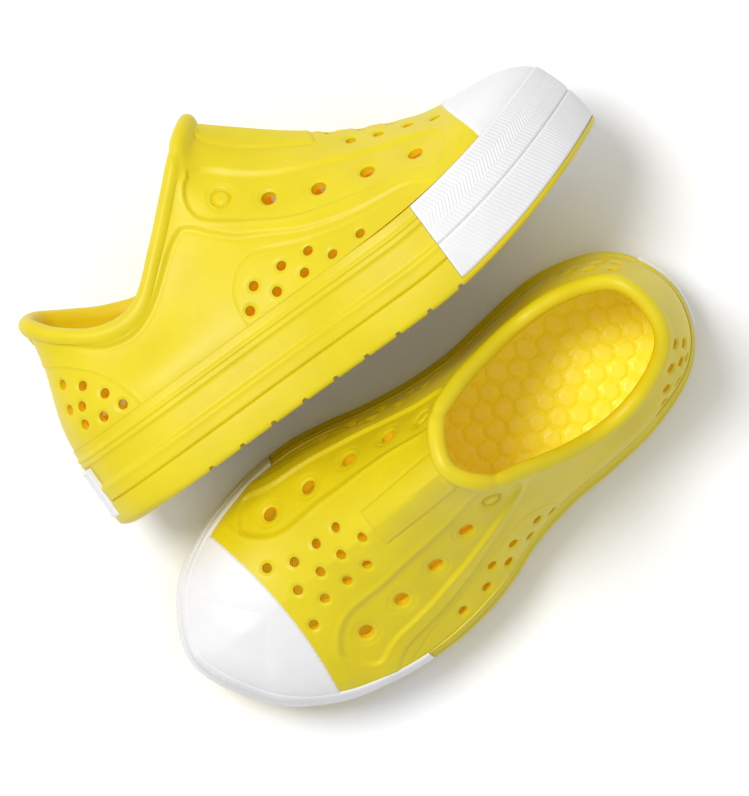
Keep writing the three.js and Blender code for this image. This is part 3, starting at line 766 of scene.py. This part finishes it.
def mark_depth(thing, relief):
    """A value on each vertex for how deep inside the shoe it is: 0 outside, 1 well inside."""
    samples = relief.grid[::DEPTH_STEP, ::DEPTH_STEP].reshape(-1, 3)
    normals = relief.normal[::DEPTH_STEP, ::DEPTH_STEP].reshape(-1, 3)
    tree = KDTree(len(samples))
    for k, point in enumerate(samples):
        tree.insert(point, k)
    tree.balance()
    points = mesh_points(thing) * 1000
    found = [tree.find(point) for point in points]
    near = np.array([spot for spot, _, _ in found])
    index = np.array([k for _, k, _ in found])
    below = -((points - near) * normals[index]).sum(-1)
    under_rim = np.interp(points[:, 0], RIMS[:, RIM_X], RIMS[:, RIM_OUTER_Z]) - points[:, 2]
    skin, fade, shallow, deep = 0.7, 2.0, 0.1, 22
    walled = np.clip((below - skin) / fade, 0, 1) * np.clip(under_rim / deep, shallow, 1)
    # this value mixes the painted shade colour and the painted glow into the upper's foam
    depth = thing.data.attributes.new("depth", "FLOAT", "POINT")
    depth.data.foreach_set("value", walled.astype(np.float32))


def cylinder(centre, axis, bore, above, below):
    """Two rings of points, the lower one first, round an axis through centre."""
    other = np.array([1.0, 0, 0]) if abs(axis[0]) < 0.8 else np.array([0, 1.0, 0])
    u = unit(np.cross(axis, other))
    v = np.cross(axis, u)
    turn = np.arange(HOLE_SIDES) * 2 * math.pi / HOLE_SIDES
    ring = bore / 2 * (np.outer(np.cos(turn), u) + np.outer(np.sin(turn), v))
    return np.concatenate([centre + ring - axis * below, centre + ring + axis * above])


def hole_cutters(relief):
    """A plug for each hole, square to the wall."""
    points, faces = [], []
    for index, bore in hole_spots(relief):
        ring = cylinder(relief.grid[index], relief.normal[index], bore, 2.5, WALL + 2.0)
        start, n = sum(len(p) for p in points), len(ring) // 2
        points.append(ring)
        faces.append([start + k for k in range(n - 1, -1, -1)])
        faces.append([start + n + k for k in range(n)])
        faces += [[start + k, start + (k + 1) % n, start + n + (k + 1) % n, start + n + k] for k in range(n)]
    return make_mesh("hole_cutters", np.concatenate(points), faces)


def cap_line(y):
    return LENGTH - CAP_LENGTH + CAP_SWEEP * (y / CAP_HALF) ** 2


def make_cap(name, relief, place):
    """A skin over the toe, its rear edge rounded off."""
    grid = relief.grid
    inward = grid[..., 0] - cap_line(grid[..., 1])
    proud = CAP_PROUD - CAP_EDGE_DROP * (1 - np.sqrt(1 - (1 - np.clip(inward / CAP_EDGE, 0, 1)) ** 2))
    outer = grid + relief.normal * proud[..., None]
    under = grid - relief.normal * (CAP_THICKNESS - CAP_PROUD)
    rows = list(range(WALL_ROWS, 0, -CAP_ROW_STEP)) + [0]
    thing = weld(shell_mesh(name, outer, under[rows], np.zeros((0, len(place), 3)), place))
    return cut(thing, cap_region(), "INTERSECT")


def cap_region():
    """Everything in front of the toe cap's rear edge."""
    y = np.linspace(-2 * CAP_HALF, 2 * CAP_HALF, 81)
    edge = np.stack([cap_line(y), y], -1)
    corners = np.concatenate([edge, [[LENGTH + 20, y[-1]], [LENGTH + 20, y[0]]]])
    n = len(corners)
    points = np.concatenate([np.c_[corners, np.full(n, -10.0)], np.c_[corners, np.full(n, 120.0)]])
    faces = [list(range(n)), list(range(2 * n - 1, n - 1, -1))]
    faces += [[(k + 1) % n, k, n + k, n + (k + 1) % n] for k in range(n)]
    return make_mesh("cap_region", points, faces)


# ---- Toe bands and badge ------------------------------------------------------------------------
def place_where(values, target, spots):
    """The place, among rising values at spots, where a target is reached."""
    return float(np.interp(target, values, spots))


def arc_lengths(s):
    """How far round the sole's edge each place is from the first."""
    plan, _ = outline(s)
    return np.concatenate([[0], np.cumsum(np.linalg.norm(np.diff(plan, axis=0), axis=1))])


def band_mesh(name, s, heights, relief_at, outer, inner):
    """A band round part of the sole's side. relief_at(arc, height) raises its outside."""
    arc = arc_lengths(s)
    height, along = np.meshgrid(heights, arc, indexing="ij")
    outside = sole_points(s[None, :], height, outer - relief_at(along, height))
    back = np.array([sole_points(s, h, inner) for h in heights[::-8]])
    section = np.concatenate([outside, back]).transpose(1, 0, 2)[::-1]
    count, around = section.shape[:2]
    faces = ring_faces(count, around).tolist()
    faces.append(list(range(around)))
    faces.append(list(range(count * around - 1, (count - 1) * around - 1, -1)))
    return make_mesh(name, section.reshape(-1, 3), faces)


def knurl(across, along, low, high, rows):
    """Fine slanted ribs between two heights, leaning the other way in each next row."""
    share = (across - low) / (high - low)
    row = np.clip((share * rows).astype(int), 0, rows - 1)
    local = share * rows - row
    lean = np.where(row % 2 == 0, 1.0, -1.0) * KNURL_LEAN
    phase = (along + lean * (across - low)) / KNURL_PITCH
    rib = 0.5 + 0.5 * np.cos(2 * math.pi * phase)
    edge = step_up(np.minimum(share, 1 - share) * (high - low) - 0.9, 0.5)
    seam = step_up(np.minimum(local, 1 - local) * (high - low) / rows - 0.15, 0.4)
    return KNURL_DEPTH * (rib - 0.6) * edge * seam


def toe_band(name, low, high, rows):
    """A band round the toe between two heights, with its rows of fine ribs."""
    rear = band_rear()
    s = np.linspace(rear, ROUND - rear, 640)
    heights = np.linspace(low, high, int((high - low) / 0.26) + 1)

    def relief_at(along, height):
        end = np.minimum(along, along.max() - along)
        round_off = 0.45 * (ridge_of(height - low, 0.4) + ridge_of(height - high, 0.4))
        return knurl(height, along, low, high, rows) * step_up(end - 0.8, 0.5) - round_off

    return band_mesh(name, s, heights, relief_at, 0.0, BAND_THICKNESS)


def make_badge(name):
    s = np.linspace(*badge_ends(), 90)
    heights = np.linspace(BADGE_BOTTOM, BADGE_TOP, 49)

    def relief_at(along, height):
        end = np.minimum(along, along.max() - along)
        edge = np.minimum(np.minimum(height - BADGE_BOTTOM, BADGE_TOP - height), end)
        return -0.35 * ridge_of(edge, 0.4) - 0.25 * step_up(edge - 1.5, 0.6)

    return band_mesh(name, s, heights, relief_at, -BADGE_PROUD, BADGE_THICKNESS - BADGE_PROUD)


# ---- Materials ----------------------------------------------------------------------------------
def node_material(name, roughness):
    material = bpy.data.materials.new(name)
    material.use_nodes = True
    shader = material.node_tree.nodes["Principled BSDF"]
    shader.inputs["Roughness"].default_value = roughness
    return material, material.node_tree, shader


def noise(tree, scale, detail=2.0):
    coords = tree.nodes.new("ShaderNodeTexCoord")
    texture = tree.nodes.new("ShaderNodeTexNoise")
    texture.inputs["Scale"].default_value = scale
    texture.inputs["Detail"].default_value = detail
    tree.links.new(coords.outputs["Object"], texture.inputs["Vector"])
    return texture.outputs["Fac"]


def mix_colour(tree, factor, dark, light):
    """A colour from dark to light as a factor goes from 0.3 to 0.7."""
    ramp = tree.nodes.new("ShaderNodeValToRGB")
    ramp.color_ramp.elements[0].position = 0.3
    ramp.color_ramp.elements[1].position = 0.7
    ramp.color_ramp.elements[0].color = (*dark, 1)
    ramp.color_ramp.elements[1].color = (*light, 1)
    tree.links.new(factor, ramp.inputs["Fac"])
    return ramp.outputs["Color"]


def bump(tree, height, strength, distance, below=None):
    node = tree.nodes.new("ShaderNodeBump")
    node.inputs["Strength"].default_value = strength
    node.inputs["Distance"].default_value = distance
    tree.links.new(height, node.inputs["Height"])
    if below:
        tree.links.new(below, node.inputs["Normal"])
    return node.outputs["Normal"]


def towards(tree, share, deep):
    """A mix node that goes from its input A, which is black unless it is linked, to a deep colour."""
    mix = tree.nodes.new("ShaderNodeMix")
    mix.data_type = "RGBA"
    mix.inputs["A"].default_value = (0, 0, 0, 1)
    mix.inputs["B"].default_value = (*deep, 1)
    tree.links.new(share, mix.inputs["Factor"])
    return mix


def foam(name, dark, light, roughness, glow=None, deep=None):
    """Moulded foam: a soft sheen over a fine pebbled grain, and a glow painted on as emission for the light
    that soaks through its walls.

    deep is its painted shade colour well inside the shoe, where all of the painted glow shows.
    """
    material, tree, shader = node_material(name, roughness)
    colour = mix_colour(tree, noise(tree, 60), dark, light)
    # painted shade and painted glow: the colour turns to deep and the emission to glow as the depth value
    # rises
    if deep:
        depth = tree.nodes.new("ShaderNodeAttribute")
        depth.attribute_name = "depth"
        lined = towards(tree, depth.outputs["Fac"], deep)
        tree.links.new(colour, lined.inputs["A"])
        colour = lined.outputs["Result"]
        soak = towards(tree, depth.outputs["Fac"], glow)
        tree.links.new(soak.outputs["Result"], shader.inputs["Emission Color"])
    # painted glow, even over the whole piece
    elif glow:
        shader.inputs["Emission Color"].default_value = (*glow, 1)
    shader.inputs["Emission Strength"].default_value = 1 if glow else 0
    shader.inputs["Specular IOR Level"].default_value = 0.35
    tree.links.new(colour, shader.inputs["Base Color"])
    grain = bump(tree, noise(tree, 2600, 3), 0.25, 0.0002)
    grain = bump(tree, noise(tree, 420, 2), 0.15, 0.0004, grain)
    tree.links.new(grain, shader.inputs["Normal"])
    return material


def white_rubber():
    material, tree, shader = node_material("white_rubber", 0.42)
    colour = mix_colour(tree, noise(tree, 80), RUBBER_DARK, RUBBER_LIGHT)
    tree.links.new(colour, shader.inputs["Base Color"])
    tree.links.new(bump(tree, noise(tree, 1800, 2), 0.12, 0.0002), shader.inputs["Normal"])
    return material


# ---- The pair -----------------------------------------------------------------------------------
def mesh_points(thing):
    points = np.empty(len(thing.data.vertices) * 3, np.float32)
    thing.data.vertices.foreach_get("co", points)
    return points.reshape(-1, 3).astype(float)


def turned(points, turn):
    return points @ np.array(turn)[:3, :3].T


def place_on_frame(thing, turn, mirror, offset):
    points = mesh_points(thing)
    if mirror:
        points = points * [1, -1, 1]
        thing.data.flip_normals()
    points = turned(points, turn) + offset
    thing.data.vertices.foreach_set("co", points.astype(np.float32).ravel())
    thing.data.update()


def offset_to(node, points):
    low, high = (np.array(corner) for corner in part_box(node))
    return (low + high) / 2 - (points.min(0) + points.max(0)) / 2


def copy_of(thing, name):
    other = thing.copy()
    other.data = thing.data.copy()
    other.name = other.data.name = name
    bpy.context.scene.collection.objects.link(other)
    return other


def build_clog():
    """The left clog's pieces by name, in the clog's own frame, in metres."""
    upper, relief = make_upper("upper")
    split = BAND_SPLIT + CLEARANCE
    top = FEATHER_HEIGHT + CLEARANCE - SEAT_GAP
    return {
        "upper": upper,
        "toe_cap": make_cap("toe_cap", relief, places()),
        "midsole": make_midsole("midsole"),
        "outsole": make_outsole("outsole"),
        "footbed": weld(make_footbed("footbed")),
        "toe_bumper": toe_band("toe_bumper", split, top, 3),
        "toe_foxing": toe_band("toe_foxing", BAND_BOTTOM, split - SEAT_GAP, 1),
        "heel_badge": make_badge("heel_badge"),
    }


def rotation(x, y, z):
    """The turn about x, then y, then z, in degrees."""
    turns = [Matrix.Rotation(math.radians(a), 4, axis) for a, axis in zip((x, y, z), "XYZ")]
    return turns[2] @ turns[1] @ turns[0]


def dress(pieces):
    yellow = foam("yellow_foam", FOAM_DARK, FOAM_LIGHT, FOAM_ROUGHNESS)
    # the upper's foam gets painted shade and painted glow deep inside; the footbed's is lightened and gets a
    # painted glow
    upper = foam("upper_foam", FOAM_DARK, FOAM_LIGHT, FOAM_ROUGHNESS, INSIDE_PAINTED_GLOW, INSIDE_PAINTED_SHADE)
    inside_foam = foam("footbed_foam", FOOTBED_DARK, FOOTBED_LIGHT, FOOTBED_ROUGHNESS, FOOTBED_PAINTED_GLOW)
    white = white_rubber()
    finish = {"foam_yellow": yellow, "footbed_yellow": inside_foam, "rubber_white": white}
    for name, thing in pieces.items():
        thing.data.materials.clear()
        thing.data.materials.append(upper if name == "upper" else finish[SLOTS[name]])
        smooth_shading(thing)


def set_on_frame(pieces):
    """Each piece becomes the left clog's, and its mirror image the right clog's."""
    level = Matrix.Identity(4)
    lying = rotation(*LYING)
    sole = mesh_points(pieces["outsole"])
    offsets = {
        "left": offset_to("left_outsole", sole),
        "right": offset_to("right_outsole", turned(sole * [1, -1, 1], lying)),
    }
    for name, thing in pieces.items():
        right = copy_of(thing, f"right_{name}_visual")
        thing.name = thing.data.name = f"left_{name}_visual"
        place_on_frame(thing, level, False, offsets["left"])
        place_on_frame(right, lying, True, offsets["right"])
        for side, one in (("left", thing), ("right", right)):
            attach(one, f"{side}_clog")
            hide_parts(f"{side}_{name}")


# ---- Studio -------------------------------------------------------------------------------------
def add_floor():
    bpy.ops.mesh.primitive_grid_add(size=8, x_subdivisions=4, y_subdivisions=4, location=(0, 0, -0.0002))
    floor = bpy.context.object
    floor.name = "floor"
    material, tree, shader = node_material("floor_paint", 0.9)
    colour = mix_colour(tree, noise(tree, 3), FLOOR_DARK, FLOOR_LIGHT)
    tree.links.new(colour, shader.inputs["Base Color"])
    floor.data.materials.append(material)


def add_light(name, location, target, size, power):
    data = bpy.data.lights.new(name, "AREA")
    data.shape = "DISK"
    data.size = size
    data.energy = power
    light = bpy.data.objects.new(name, data)
    light.location = location
    direction = np.array(target) - np.array(location)
    light.rotation_euler = Matrix(look_along(direction)).to_euler()
    bpy.context.scene.collection.objects.link(light)


def look_along(direction):
    back = -direction / np.linalg.norm(direction)
    side = np.cross([0.0, 0.0, 1.0], back)
    side = side / np.linalg.norm(side)
    up = np.cross(back, side)
    return np.column_stack([side, up, back]).tolist()


def light_studio():
    world = bpy.data.worlds.new("studio")
    bpy.context.scene.world = world
    world.use_nodes = True
    world.node_tree.nodes["Background"].inputs["Color"].default_value = (0.97, 0.98, 1, 1)
    world.node_tree.nodes["Background"].inputs["Strength"].default_value = 0.66
    add_light("key", (0.22, -0.51, 1.25), (0, 0, 0), 0.5, 12)
    bpy.context.scene.view_settings.view_transform = "Standard"


def add_camera():
    """Almost straight down, as far off as the photograph was taken from."""
    data = bpy.data.cameras.new("camera")
    data.lens = 160.3
    data.sensor_width = 36
    camera = bpy.data.objects.new("camera", data)
    camera.location = (-0.0153, 0.0372, 1.086)
    camera.rotation_euler = [math.radians(a) for a in (0.278, 1.640, 140.317)]
    bpy.context.scene.collection.objects.link(camera)
    bpy.context.scene.camera = camera


def corners(bounds):
    return [[float(v) for v in corner] for corner in bounds]


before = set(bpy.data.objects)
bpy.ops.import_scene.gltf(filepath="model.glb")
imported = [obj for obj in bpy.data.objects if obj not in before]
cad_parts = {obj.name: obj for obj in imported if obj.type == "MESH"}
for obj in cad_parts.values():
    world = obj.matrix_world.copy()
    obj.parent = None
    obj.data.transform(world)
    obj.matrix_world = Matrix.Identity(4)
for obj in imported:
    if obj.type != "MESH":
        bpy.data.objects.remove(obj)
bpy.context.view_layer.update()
clog = build_clog()
dress(clog)
set_on_frame(clog)
add_floor()
light_studio()
add_camera()
